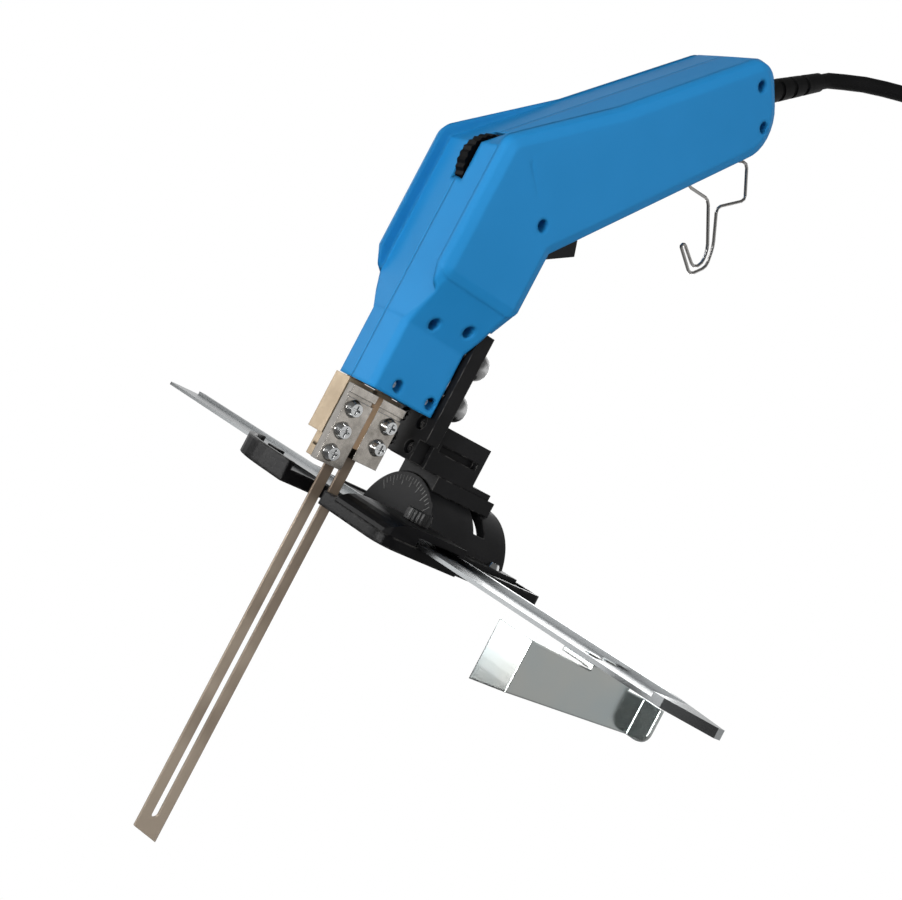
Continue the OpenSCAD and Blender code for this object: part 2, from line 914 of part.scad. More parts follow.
module busbar(side) {
    translate([side * tang_x - bar_w / 2, tang_y, tang_top])
        cube([bar_w, tang_w, core_z - tang_top]);
}

module front_busbar() {
    color(copper)
        busbar(-1);
}

module rear_busbar() {
    color(copper)
        busbar(1);
}

// Controls

module heat_dial() {
    color(satin_black)
        translate(dial_pos - [0, dial_w / 2, 0])
            rotate([-90, 0, 0])
                difference() {
                    knurled(dial_r, dial_w, dial_ribs, dial_rib_depth);
                    translate([0, 0, -over])
                        cylinder(r = dial_shaft_r + slip / 2, h = dial_w + 2 * over, $fn = soft_fn);
                }
}

module potentiometer() {
    color("darkslategray")
        translate(dial_pos) {
            bore_y(0, 0, dial_shaft_r, -dial_w / 2, dial_w / 2 + dial_gap);
            bore_y(0, 0, pot_r, dial_w / 2 + dial_gap, dial_w / 2 + dial_gap + pot_t);
        }
}

// Far face of the potentiometer, where the board starts
board_y = dial_w / 2 + dial_gap + pot_t;

module control_board() {
    color("darkgreen")
        translate([dial_pos.x - board_l / 2, board_y, dial_pos.z - board_drop - board_h / 2])
            cube([board_l, board_t, board_h]);
    color("gainsboro")
        for (dx = [-1, 1])
            bore_y(dial_pos.x + dx * board_l / 4, dial_pos.z - board_drop + dx * board_h / 4, board_post_r,
                board_y + board_t, half_w - wall);
}

// Height of the switch's underside in the grip's frame
switch_n = grip_low + wall + trigger_lip + trigger_travel + switch_pad;

module trigger() {
    color(satin_black)
        on_grip(trigger_a0, grip_low, 0)
            rotate([90, 0, 0])
                translate([0, 0, -trigger_w / 2])
                    linear_extrude(trigger_w)
                        polygon([
                            [0, -trigger_front],
                            [trigger_l - trigger_toe, -trigger_drop],
                            [trigger_l, -trigger_heel],
                            [trigger_l, wall + trigger_lip],
                            [0, wall + trigger_lip]]);
}

module trigger_switch() {
    color("dimgray") {
        on_grip(trigger_a0 - switch_fore, switch_n, -switch_w / 2)
            cube([switch_l, switch_w, switch_h]);
    }
}

// Cord entry

module cable_clamp() {
    color(satin_black)
        on_boot()
            translate([-clamp_bar_in, 0, -cord_r - clamp_bar_h])
                difference() {
                    translate([-clamp_bar_l / 2, wall - half_tail, 0])
                        cube([clamp_bar_l, tail_w - 2 * wall, clamp_bar_h]);
                    for (y = [-1, 1])
                        translate([0, y * cable_screw_pitch, -over])
                            cylinder(r = cable_screw_r + screw_gap, h = clamp_bar_h + 2 * over, $fn = soft_fn);
                }
}

module cable_clamp_screws() {
    color(zinc)
        on_boot()
            for (y = [-1, 1])
                translate([-clamp_bar_in, y * cable_screw_pitch, -cord_r])
                    rotate([-90, 0, 0])
                        pan_screw(shell_head_r, shell_head_t, cable_screw_r, clamp_bar_h);
}

module strain_relief() {
    color(satin_black)
        on_boot()
            translate([-boot_in, 0, 0])
                rotate([0, 90, 0])
                    rotate_extrude($fn = soft_fn)
                        polygon(concat(
                            [[0, 0], [boot_collar_r, 0]],
                            [[boot_collar_r, boot_collar_t], [boot_radius(0), boot_collar_t]],
                            [for (k = [0 : boot_ribs - 1], e = [0 : 3])
                                let (z = (k + boot_rib_share) * boot_pitch + (e > 1 ? boot_rib_w : 0))
                                    [boot_radius(z) - (e == 1 || e == 2 ? boot_rib_depth : 0), boot_in + z]],
                            [[boot_r1, boot_in + boot_l], [0, boot_in + boot_l]]));
}

// The boot's radius at a distance behind the grip
function boot_radius(z) = let (r = boot_r0 - screw_gap) r - (r - boot_r1) * z / boot_l;

// The hook's wire in the grip's frame: along, height
hook_wire = let (a0 = lug_a[0], a1 = lug_a[1], low = hook_n - hook_drop, s = hook_strand) [
    [a0 - hook_d / 4, hook_n],
    [a0 - 2 * hook_d, hook_n],
    [a0 - 2 * hook_d, hook_n - lug_r - hook_d],
    [a0 + hook_reach, hook_n - hook_shoulder],
    [a0 + hook_reach - s, low + hook_reach],
    [a0 + hook_reach / 2 - s, low + s],
    [a0 - hook_reach / 2, low + s],
    [a0 - hook_reach, low + hook_rise],
    [a0 - hook_reach - s, low + hook_rise],
    [a0 - hook_reach / 2 - s, low],
    [a0 + hook_reach / 2, low],
    [a0 + hook_reach + s / 2, low + hook_reach],
    [a0 + hook_reach + 2 * s, hook_n - hook_sag],
    [a1 + lug_l + hook_tail - s, hook_n - hook_sag - s],
    [a1 + lug_l + hook_tail, hook_n - lug_r - hook_d],
    [a1 + lug_l + 2 * hook_d, hook_n],
    [a1 + lug_l + hook_d / 4, hook_n]];

module hook() {
    pin = lug_l - hook_d / 4;
    color(steel) {
        tube(rounded_path([for (w = hook_wire) grip_point(w[0], w[1], 0)], hook_strand),
            hook_d / 2 - hook_skin, hook_sides, [0, 1, 0]);
        on_grip(lug_a[0] - hook_d / 4, hook_n, 0)
            rotate([0, 90, 0])
                cylinder(d = hook_d, h = pin, $fn = soft_fn);
        on_grip(lug_a[1] + hook_d / 2, hook_n, 0)
            rotate([0, 90, 0])
                cylinder(d = hook_d, h = pin, $fn = soft_fn);
    }
}

// Bracket

module bracket_screws() {
    shank_l = foot_x + slip + dome_h / 2 - nose_back + wall;
    color(zinc)
        for (y = [-1, 1], z = bracket_z)
            translate([foot_x + slip, y * bracket_screw_y, z])
                rotate([0, 90, 0]) {
                    rotate_extrude($fn = soft_fn)
                        intersection() {
                            translate([0, (dome_h - dome_d * dome_d / dome_h / 4) / 2])
                                circle(r = (dome_h + dome_d * dome_d / dome_h / 4) / 2, $fn = 2 * soft_fn);
                            square([dome_d, dome_h]);
                        }
                    translate([0, 0, nose_back - wall - foot_x - slip])
                        cylinder(r = bracket_screw_r, h = shank_l, $fn = soft_fn);
                }
}

module bracket_arm() {
    color(satin_black)
        difference() {
            union() {
                translate([arm_x, -arm_w / 2, arm_low])
                    cube([arm_t, arm_w, arm_top - arm_low]);
                translate([arm_x, -tongue_w / 2, arm_low - tongue_drop])
                    cube([arm_t, tongue_w, tongue_drop + over]);
            }
            for (y = [-1, 1], z = bracket_z, end = [0, 1])
                translate([arm_x - over, y * bracket_screw_y, z + end * depth_travel])
                    rotate([0, 90, 0])
                        cylinder(r = bracket_screw_r + screw_gap, h = arm_t + 2 * over, $fn = soft_fn);
            for (y = [-1, 1], z = bracket_z)
                translate([arm_x - over, y * bracket_screw_y - bracket_screw_r - screw_gap, z])
                    cube([arm_t + 2 * over, 2 * bracket_screw_r + 2 * screw_gap, depth_travel]);
            for (z = foot_rows, y = [-1, 1])
                translate([arm_x - over, y * foot_screw_y, z])
                    rotate([0, 90, 0])
                        cylinder(r = foot_screw_r + screw_gap, h = arm_t + 2 * over, $fn = soft_fn);
            for (z = foot_rows, y = [-1, 1])
                translate([arm_x - over, y * foot_screw_y, z])
                    rotate([0, 90, 0])
                        cylinder(r = foot_screw_head + screw_gap, h = arm_t / 2 + over, $fn = soft_fn);
        }
}

module bracket_foot() {
    color(satin_black)
        difference() {
            union() {
                translate([foot_x, -foot_w / 2, foot_z0])
                    cube([foot_l, foot_w, foot_z1 - foot_z0]);
                translate([foot_x, -foot_w / 2, foot_z0 - foot_plate_t])
                    cube([foot_plate_l, foot_w, foot_plate_t]);
                translate([foot_x, -foot_w / 2, arm_low])
                    rotate([-90, 0, 0])
                        cylinder(r = foot_pocket, h = foot_w, $fn = soft_fn);
            }
            for (s = [-1, 1])
                translate([foot_x + foot_pocket, s * foot_w / 2 - foot_pocket, foot_z0 + 2 * foot_pocket])
                    cube([foot_l - 2 * foot_pocket, 2 * foot_pocket, foot_pocket]);
            translate([foot_x + foot_pocket, -foot_w / 4, foot_z0 + foot_pocket])
                cube([foot_l - 2 * foot_pocket, foot_w / 2, foot_z1 - foot_z0]);
            translate([nose_back, -arm_w, 0])
                cube([arm_t + slip, 2 * arm_w, arm_top]);
            for (z = foot_rows, y = [-1, 1])
                translate([foot_x - over, y * foot_screw_y, z])
                    rotate([0, 90, 0])
                        cylinder(r = foot_screw_r, h = foot_pocket + over, $fn = soft_fn);
        }
}

module foot_screws() {
    color(zinc)
        for (z = foot_rows, y = [-1, 1])
            translate([arm_x + arm_t / 2, y * foot_screw_y, z])
                rotate([0, 0, -90])
                    pan_screw(foot_screw_head, arm_t / 3, foot_screw_r - slip, arm_t / 2 + foot_pocket / 2);
}

module saddle() {
    color(satin_black)
        difference() {
            translate([saddle_x, -foot_w / 2, drum_r * cos(45)])
                cube([saddle_l, foot_w, foot_z0 - foot_plate_t - drum_r * cos(45)]);
            translate([saddle_x - over, 0, 0])
                rotate([0, 90, 0])
                    cylinder(r = drum_r + saddle_gap, h = saddle_l + 2 * over, $fn = 2 * soft_fn);
            translate([bevel_x, 0, 0])
                cylinder(r = bevel_bolt_r, h = foot_z0, $fn = soft_fn);
        }
}

module bevel_bolt() {
    head_z = drum_r - drum_wall - saddle_gap - over;
    shank_l = foot_z0 - foot_plate_t - head_z + bevel_head_h;
    color(zinc)
        translate([bevel_x, 0, head_z - bevel_head_h]) {
            cylinder(r = bevel_head_r, h = bevel_head_h, $fn = 6);
            cylinder(r = bevel_bolt_r - slip, h = shank_l, $fn = soft_fn);
        }
}

// Sled

// Outline of the sled's plate, moved in by inset; its far front corner is swept back
module sled_outline(inset) {
    polygon(concat(
        [[-lip_near + inset, -notch_w / 2 - inset], [-lip_near + inset, -sled_near + corner_r]],
        [for (a = [180 : arc_step : 270]) [-lip_near + corner_r + (corner_r - inset) * cos(a),
            -sled_near + corner_r + (corner_r - inset) * sin(a)]],
        [[cover_back - inset, -sled_near + inset], [cover_back - inset, -sled_waist + inset]],
        [for (a = [270 : arc_step : 360]) [sled_back - heel_r + (heel_r - inset) * cos(a),
            -sled_waist + heel_r + (heel_r - inset) * sin(a)]],
        [for (a = [0 : arc_step : 90]) [sled_back - corner_r + (corner_r - inset) * cos(a),
            sled_far - corner_r + (corner_r - inset) * sin(a)]],
        [for (a = [90 : sweep_step : 180]) [-lip_far + 2 * lip_far + (2 * lip_far - inset) * cos(a),
            sled_far - 3 * lip_far + (3 * lip_far - inset) * sin(a)]],
        [[-lip_far + inset, notch_w / 2 + inset], [notch_x + inset, notch_w / 2 + inset],
            [notch_x + inset, -notch_w / 2 - inset]]));
}

module sled_plate() {
    tunnel = ruler_w + 2 * tunnel_gap;
    color(satin_black)
        difference() {
            union() {
                linear_extrude(plate_t)
                    sled_outline(0);
                linear_extrude(plate_t + rim_h)
                    difference() {
                        sled_outline(0);
                        sled_outline(rim_w);
                    }
                linear_extrude(plate_t + lobe_rim_h)
                    intersection() {
                        difference() {
                            sled_outline(0);
                            sled_outline(rim_w);
                        }
                        polygon([[-lip_far, 0], [rim_w - lip_far, 0], [rim_w - lip_far, sled_far / 2],
                            [ruler_x0, sled_far / 2], [ruler_x0, sled_far], [-lip_far, sled_far]]);
                    }
                for (s = [-1, 1])
                    translate([
                        s > 0 ? ruler_x0 + ruler_w + tunnel_gap : ruler_x0 - tunnel_gap - lug_w,
                        lug_far,
                        plate_t - over])
                        cube([lug_w, 2 * lug_w, ruler_t + over]);
            }
            translate([ruler_x0 - tunnel_gap, -2 * sled_near, plate_t])
                cube([tunnel, 2 * sled_near + 2 * sled_far, cover_h]);
            translate([-lip_near - over, -sled_near - over, plate_t])
                cube([cover_back + lip_near + over + slip, sled_near - cover_far + over + slip, cover_h]);
            translate([drum_x - slip, -drum_r - slip, -over])
                cube([drum_l + 2 * slip, 2 * drum_r + 2 * slip, plate_t + 2 * over]);
            translate([ruler_x0 + ruler_w / 2, lock_y, -over])
                cylinder(r = lock_r, h = plate_t + 2 * over, $fn = soft_fn);
            for (p = drum_bolts)
                translate([p[0], p[1], -over])
                    cylinder(r = foot_screw_r, h = plate_t + 2 * over, $fn = soft_fn);
        }
}

// Foot screws of the drum
drum_flange = 9;
drum_bolt_shares = [0.25, 0.75];
drum_bolts = [for (x = drum_bolt_shares, s = [-1, 1]) [drum_x + x * drum_l, s * (drum_r + drum_flange / 2)]];

module bevel_drum() {
    color(satin_black)
        difference() {
            union() {
                translate([drum_x, 0, 0])
                    rotate([0, 90, 0])
                        difference() {
                            cylinder(r = drum_r, h = drum_l, $fn = 2 * soft_fn);
                            translate([0, 0, drum_web])
                                cylinder(r = drum_r - drum_wall, h = drum_l, $fn = 2 * soft_fn);
                            rotate([0, 0, -bevel_reach])
                                bevel_slot();
                        }
                for (s = [-1, 1])
                    translate([drum_x, s > 0 ? drum_r - drum_wall / 2 : -drum_r - drum_flange, plate_t])
                        cube([drum_l, drum_flange + drum_wall / 2, drum_wall / 2]);
            }
            translate([drum_x - over, -2 * drum_r, -2 * drum_r])
                cube([drum_l + 2 * over, 4 * drum_r, 2 * drum_r]);
            for (p = drum_bolts)
                translate([p[0], p[1], plate_t - over])
                    cylinder(r = foot_screw_r + screw_gap, h = drum_wall, $fn = soft_fn);
        }
}

// Arc of the lock bolt's way round the drum, with its middle at the top
module bevel_slot() {
    translate([0, 0, bevel_x - drum_x - bevel_slot_w / 2])
        rotate([0, 0, 180])
            rotate_extrude(angle = 2 * bevel_reach, $fn = 2 * soft_fn)
                translate([drum_r - drum_wall - over, 0])
                    square([drum_wall + 2 * over, bevel_slot_w]);
}

module drum_screws() {
    shank_l = drum_wall / 2 + plate_t - over;
    color(zinc)
        for (p = drum_bolts)
            translate([p[0], p[1], plate_t + drum_wall / 2])
                rotate([-90, 0, 0])
                    pan_screw(foot_screw_head, shell_head_t, foot_screw_r - slip, shank_l);
}

module guide_cover() {
    low = plate_t + slip;
    color(satin_black)
        difference() {
            translate([0, -cover_far, 0])
                rotate([90, 0, 0])
                    linear_extrude(sled_near - cover_far)
                        polygon(concat(
                            [[-lip_near, low]],
                            [for (a = [180 : -arc_step : 90]) [-lip_near + cover_slope + cover_slope * cos(a),
                                low + (cover_h - low) * sin(a)]],
                            [[cover_back, cover_h], [cover_back, low]]));
            translate([ruler_x0 - tunnel_gap, -2 * sled_near, 0])
                cube([ruler_w + 2 * tunnel_gap, 2 * sled_near, ruler_z + ruler_t + tunnel_gap]);
            translate([ruler_x0 + ruler_w / 2, lock_y, 0])
                cylinder(r = lock_r + screw_gap, h = cover_h + over, $fn = soft_fn);
            translate([-lip_near - over, -sled_near - corner_r, 0])
                rotate([0, 0, 45])
                    cube([corner_r, corner_r, cover_h + over]);
        }
}

module ruler_lock_screw() {
    color(zinc)
        translate([ruler_x0 + ruler_w / 2, lock_y, 0]) {
            translate([0, 0, ruler_z + ruler_strip + slip])
                cylinder(r = lock_r - slip / 2, h = cover_h - ruler_z - ruler_strip, $fn = soft_fn);
            translate([0, 0, cover_h + slip])
                knurled(lock_head_r, lock_head_h, lock_ribs, lock_rib_depth);
        }
}

// Rip guide

module guide_ruler() {
    x1 = ruler_x0 + ruler_w;
    tip = ruler_x0 + ruler_tip_x;
    color(zinc)
        difference() {
            translate([0, 0, ruler_z])
                linear_extrude(ruler_t)
                    polygon(concat(
                        [[ruler_x0, ruler_near + ruler_tip_front], [tip - ruler_tip_w / 2, ruler_near],
                            [tip + ruler_tip_w / 2, ruler_near], [x1, ruler_near + ruler_tip_back]],
                        [for (a = [0 : arc_step : 90]) [x1 - fence_corner + fence_corner * cos(a),
                            ruler_far - fence_corner + fence_corner * sin(a)]],
                        [for (a = [90 : arc_step : 180]) [ruler_x0 + fence_corner + fence_corner * cos(a),
                            ruler_far - fence_corner + fence_corner * sin(a)]]));
            translate([ruler_x0 - over, ruler_near + ruler_stop, ruler_z + ruler_strip])
                cube([ruler_w - ruler_lip + over, ruler_l, ruler_t]);
            rivet_holes();
        }
}

// Two rivets through the ruler and the fence's tab
rivet_places = [for (s = [-1, 1]) [ruler_x0 + ruler_w / 2 + s * ruler_w / 5, -fence_y + fence_tab / 2]];

module rivet_holes() {
    for (p = rivet_places)
        translate([p[0], p[1], ruler_z - 2 * fence_t])
            cylinder(r = rivet_r, h = ruler_t + 3 * fence_t, $fn = soft_fn);
}

module rip_fence() {
    low = fence_top - fence_h;
    fall = fence_fall / fence_l;
    color(zinc)
        difference() {
            union() {
                translate([0, -fence_y + fence_t, 0])
                    rotate([90, 0, 0])
                        linear_extrude(fence_t)
                            polygon([
                                [fence_x0, low],
                                [fence_x1, low],
                                [fence_x1, fence_top - fence_fall],
                                [ruler_x0 + ruler_w, fence_top - fall * (ruler_x0 + ruler_w - fence_x0)],
                                [ruler_x0 + ruler_w, fence_top],
                                [ruler_x0, fence_top],
                                [ruler_x0, fence_top - fall * (ruler_x0 - fence_x0)],
                                [fence_x0, fence_top]]);
                translate([fence_x0, -fence_y, 0])
                    rotate([90, 0, 90])
                        linear_extrude(fence_t)
                            polygon([
                                [0, low],
                                [fence_end, low - fence_flare],
                                [fence_end, fence_top],
                                [0, fence_top]]);
                translate([fence_x1 - fence_t, -fence_y + fence_t, 0])
                    rotate([90, 0, 90])
                        linear_extrude(fence_t)
                            polygon(concat(
                                [[0, fence_top - fence_fall], [-fence_tail, fence_top - fence_fall]],
                                [for (a = [180 : arc_step : 270]) [
                                    fence_corner - fence_tail + fence_corner * cos(a),
                                    low + fence_corner + fence_corner * sin(a)]],
                                [[0, low]]));
                translate([ruler_x0, -fence_y, fence_top - fence_t])
                    cube([ruler_w, fence_tab, fence_t]);
            }
            rivet_holes();
        }
}

module fence_rivets() {
    floor_z = ruler_z + ruler_strip;
    color(zinc)
        for (p = rivet_places)
            translate([p[0], p[1], 0]) {
                translate([0, 0, fence_top - fence_t])
                    cylinder(r = rivet_r - slip / 2, h = floor_z - fence_top + fence_t, $fn = soft_fn);
                translate([0, 0, floor_z])
                    cylinder(r1 = rivet_head_r, r2 = rivet_r, h = rivet_head_t / 2, $fn = soft_fn);
                translate([0, 0, fence_top - fence_t - rivet_head_t])
                    cylinder(r1 = rivet_r, r2 = rivet_head_r, h = rivet_head_t, $fn = soft_fn);
            }
}

// Cord, coil and plug

module cord() {
    start = [boot_end, boot_end + cord_d * boot_along];
    end = [coil_start - [cord_d, 0, 0], coil_start];
    color(satin_black)
        tube(concat(start, cord_route, end), cord_r, cord_sides, [0, 1, 0]);
}

// The coil's centre line: in and out again at a steady rate, one layer up in each half turn of reversal
layer_turns = coil_turns / coil_layers;
climb_turns = 0.5;
function coil_radius(t) = let (k = floor(t / layer_turns), f = t - k * layer_turns)
    coil_r - coil_pitch * (k % 2 == 0 ? f : layer_turns - f);
function climb(t, k) = let (f = (t - k * layer_turns) / climb_turns + 1 / 2)
    (1 - cos(180 * max(0, min(1, f)))) / 2;
function coil_layer(t) = climb(t, 1) + climb(t, 2) + climb(t, 3);
coil_centre = coil_start + [cord_d, 0, -coil_r];
function coil_point(t) = let (a = 90 - 360 * t, r = coil_radius(min(t, coil_turns)))
    coil_centre + [r * cos(a), -coil_layer(t) * coil_pitch, r * sin(a)];
coil_rings = round(coil_turns * coil_loop_rings);
coil_loops = [for (i = [0 : coil_rings]) coil_point(i / coil_loop_rings)];
coil_last = coil_loops[coil_rings];
coil_end = coil_last - [0, 0, coil_tail];
coil_path = concat([coil_start], coil_loops, [coil_end]);

// Least gap between the coil's turns, measured on its points at least half a turn apart
coil_gap = min([for (i = [0 : coil_rings - coil_loop_rings / 2], j = [i + coil_loop_rings / 2 : coil_rings])
    norm(coil_loops[i] - coil_loops[j])]) - cord_d;
echo(coil_gap = coil_gap);
coil_length = norm(coil_loops[0] - coil_start) + coil_tail
    + [for (i = 1, s = norm(coil_loops[1] - coil_loops[0]); i <= coil_rings;
        i = i + 1, s = s + (i <= coil_rings ? norm(coil_loops[i] - coil_loops[i - 1]) : 0)) s][coil_rings - 1];
echo(coil_length = coil_length);

module cord_coil() {
    color(satin_black)
        tube(coil_path, cord_r, coil_sides, [0, 1, 0]);
}

module cord_tie() {
    depth = (coil_layers - 1) * coil_pitch + cord_d + 2 * tie_gap;
    inner = coil_r - layer_turns * coil_pitch - cord_r - tie_gap;
    outer = coil_r + cord_r + tie_gap;
    color("dimgray")
        translate([coil_centre.x, coil_start.y + cord_r + tie_gap - depth, coil_centre.z - tie_w / 2])
            difference() {
                translate([-outer - tie_t, -tie_t, 0])
                    cube([outer - inner + 2 * tie_t, depth + 2 * tie_t, tie_w]);
                translate([-outer, 0, -over])
                    cube([outer - inner, depth, tie_w + 2 * over]);
            }
}

module plug_body() {
    color(satin_black)
        translate(coil_end) {
            hull() {
                for (dx = [-1, 1])
                    translate([dx * (plug_w / 2 - plug_r), -plug_t / 2, -plug_neck - plug_l + plug_r])
                        rotate([-90, 0, 0])
                            cylinder(r = plug_r, h = plug_t, $fn = soft_fn);
                translate([-plug_w / 4, -plug_t / 2, -plug_neck])
                    cube([plug_w / 2, plug_t, over]);
            }
            translate([0, 0, -plug_neck])
                cylinder(r1 = plug_t / 2, r2 = cord_r + over, h = plug_neck, $fn = soft_fn);
        }
}

module plug_pins() {
    color(brass)
        for (dx = [-1, 1])
            translate(coil_end + [dx * pin_pitch / 2, 0, -plug_neck - plug_l - pin_l])
                cylinder(r = pin_r, h = pin_l, $fn = soft_fn);
}

housing_right();
housing_left();
housing_screws();
nose_insulator();
front_terminal();
rear_terminal();
front_clamp_plate();
rear_clamp_plate();
clamp_screws();
terminal_separator();
blade();
transformer_core();
transformer_winding();
front_busbar();
rear_busbar();
heat_dial();
potentiometer();
control_board();
trigger();
trigger_switch();
cable_clamp();
cable_clamp_screws();
strain_relief();
hook();
bracket_screws();
bracket_arm();
bracket_foot();
foot_screws();
saddle();
bevel_bolt();
sled_plate();
bevel_drum();
drum_screws();
guide_cover();
ruler_lock_screw();
guide_ruler();
rip_fence();
fence_rivets();
cord();
cord_coil();
cord_tie();
plug_body();
plug_pins();
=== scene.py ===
import json
import math
import bpy
from mathutils import Matrix, Vector


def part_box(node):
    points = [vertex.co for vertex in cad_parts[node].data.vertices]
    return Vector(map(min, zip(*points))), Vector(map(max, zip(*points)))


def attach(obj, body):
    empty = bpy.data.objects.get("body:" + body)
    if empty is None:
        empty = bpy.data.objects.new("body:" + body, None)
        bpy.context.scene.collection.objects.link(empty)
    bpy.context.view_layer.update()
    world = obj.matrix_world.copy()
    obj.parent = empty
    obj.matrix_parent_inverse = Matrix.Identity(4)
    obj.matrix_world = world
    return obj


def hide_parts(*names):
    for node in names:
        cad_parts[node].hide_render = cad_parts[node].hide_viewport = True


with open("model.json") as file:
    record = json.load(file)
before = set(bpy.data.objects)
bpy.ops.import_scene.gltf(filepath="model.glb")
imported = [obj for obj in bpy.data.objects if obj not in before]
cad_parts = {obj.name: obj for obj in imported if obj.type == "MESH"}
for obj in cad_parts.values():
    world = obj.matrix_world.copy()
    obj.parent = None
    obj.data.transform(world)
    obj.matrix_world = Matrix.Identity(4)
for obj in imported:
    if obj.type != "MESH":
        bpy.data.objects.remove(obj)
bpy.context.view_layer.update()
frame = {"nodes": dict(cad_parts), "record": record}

scene = bpy.context.scene
nodes = frame["nodes"]

# Camera: the photograph's viewpoint, level and rolled, from a fit to the tool's own edges
AZIMUTH = math.radians(40.317)
ELEVATION = math.radians(-0.019)
ROLL = math.radians(27.759)
EYE = Vector((-0.260459, -0.360911, 0.039826))
FOCAL_PX = 1178.83
WIDTH_PX = 902
SENSOR_MM = 36.0
CLIP_NEAR = 0.01
CLIP_FAR = 20

forward = Vector((
    math.sin(AZIMUTH) * math.cos(ELEVATION),
    math.cos(AZIMUTH) * math.cos(ELEVATION),
    -math.sin(ELEVATION)))
level = forward.cross(Vector((0, 0, 1))).normalized()
upright = level.cross(forward)
right = math.cos(ROLL) * level + math.sin(ROLL) * upright
up = -math.sin(ROLL) * level + math.cos(ROLL) * upright
camera_data = bpy.data.cameras.new("photo_camera")
camera_data.sensor_fit = "HORIZONTAL"
camera_data.sensor_width = SENSOR_MM
camera_data.lens = FOCAL_PX / WIDTH_PX * SENSOR_MM
camera_data.clip_start = CLIP_NEAR
camera_data.clip_end = CLIP_FAR
camera = bpy.data.objects.new("photo_camera", camera_data)
scene.collection.objects.link(camera)
camera.matrix_world = Matrix.Translation(EYE) @ Matrix((right, up, -forward)).transposed().to_4x4()
scene.camera = camera

# Mains lead, in millimetres: the grip and boot that it leaves, as in the part's source
MM_PER_METRE = 1000
GRIP_SLOPE = math.radians(46)
BOOT_SLOPE = GRIP_SLOPE - math.radians(7)
BODY_FRONT = 17.0
BEND_Z = 141.5
GRIP_L = 145.0
BOOT_L = 50.0
BOOT_DROP = 19.4
GRIP_ALONG = Vector((math.cos(GRIP_SLOPE), 0, math.sin(GRIP_SLOPE)))
GRIP_OUT = Vector((-math.sin(GRIP_SLOPE), 0, math.cos(GRIP_SLOPE)))
BOOT_ALONG = Vector((math.cos(BOOT_SLOPE), 0, math.sin(BOOT_SLOPE)))
GRIP_TOP = BODY_FRONT * math.sin(GRIP_SLOPE) + BEND_Z * math.cos(GRIP_SLOPE)
GRIP_BACK = BEND_Z * math.sin(GRIP_SLOPE) - BODY_FRONT * math.cos(GRIP_SLOPE) + GRIP_L
BOOT_START = GRIP_BACK * GRIP_ALONG + (GRIP_TOP - BOOT_DROP) * GRIP_OUT
BOOT_END = BOOT_START + BOOT_L * BOOT_ALONG

# Mains lead: the free route and the sizes of the tied coil, as in the part's source
CORD_D = 7.0
CORD_ROUNDING = 6
ROUTE = [
    (148, -3.5, 271.5), (155, -9, 275), (162, -15, 277.5), (170, -21, 280),
    (178, -27, 281.5), (186, -33, 282.5), (194, -39, 283), (202, -44.5, 283),
    (210, -49, 283), (218, -52.5, 283), (226, -54.5, 283), (232, -55, 283)]
COIL_START = Vector((240, -55, 283))
COIL_TURNS = 6.25
COIL_LAYERS = 4
COIL_AIR = 0.7
COIL_PITCH = CORD_D + COIL_AIR
COIL_R = 6.2 * CORD_D
COIL_TAIL = 3.5 * CORD_D
COIL_CENTRE = COIL_START + Vector((CORD_D, 0, -COIL_R))
POINTS_PER_TURN = 24
LAYER_TURNS = COIL_TURNS / COIL_LAYERS
CROSSING_TURNS = 0.5


def coil_point(turns):
    """Where the lead is after some turns. Layers wind inwards and outwards in turn, and the lead
    crosses over to the next layer within half a turn."""
    layer = min(int(turns / LAYER_TURNS), COIL_LAYERS - 1)
    wound = turns - layer * LAYER_TURNS
    inward = wound if layer % 2 == 0 else LAYER_TURNS - wound
    radius = COIL_R - COIL_PITCH * inward
    layers_over = 0.0
    for crossing in range(1, COIL_LAYERS):
        done = min(max((turns - crossing * LAYER_TURNS) / CROSSING_TURNS + 0.5, 0), 1)
        layers_over += (1 - math.cos(math.pi * done)) / 2
    angle = math.radians(90 - 360 * turns)
    return COIL_CENTRE + Vector((
        radius * math.cos(angle), -layers_over * COIL_PITCH, radius * math.sin(angle)))


last_point = round(COIL_TURNS * POINTS_PER_TURN)
coil = [coil_point(i / POINTS_PER_TURN) for i in range(last_point + 1)]
route = [BOOT_END, BOOT_END + CORD_D * BOOT_ALONG]
route += [Vector(point) for point in ROUTE]
route += [COIL_START - Vector((CORD_D, 0, 0)), COIL_START]
route += coil
route += [coil[-1] - Vector((0, 0, COIL_TAIL))]
lead_points = [point / MM_PER_METRE for point in route]

# Mains lead: a round tube whose radius, in metres, is set at each point
lead_curve = bpy.data.curves.new("mains_lead", "CURVE")
lead_curve.dimensions = "3D"
lead_curve.bevel_depth = 1.0
lead_curve.bevel_resolution = CORD_ROUNDING
lead_curve.use_fill_caps = True
spline = lead_curve.splines.new("POLY")
spline.points.add(len(lead_points) - 1)
for spline_point, place in zip(spline.points, lead_points):
    spline_point.co = (*place, 1)
    spline_point.radius = CORD_D / 2 / MM_PER_METRE
spline.use_smooth = True
lead = bpy.data.objects.new("mains_lead", lead_curve)
scene.collection.objects.link(lead)
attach(lead, "tool")
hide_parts("cord", "cord_coil")

# Shader building blocks
WHITE = (1, 1, 1, 1)
EDGE_SAMPLES = 6
# Sockets of a Mix node that hold its two colours and its result
MIX_FIRST = 6
MIX_SECOND = 7
MIX_RESULT = 2


def shader(name):
    """A new material, its node tree and its main shader."""
    material = bpy.data.materials.new(name)
    material.use_nodes = True
    tree = material.node_tree
    return material, tree, tree.nodes["Principled BSDF"]


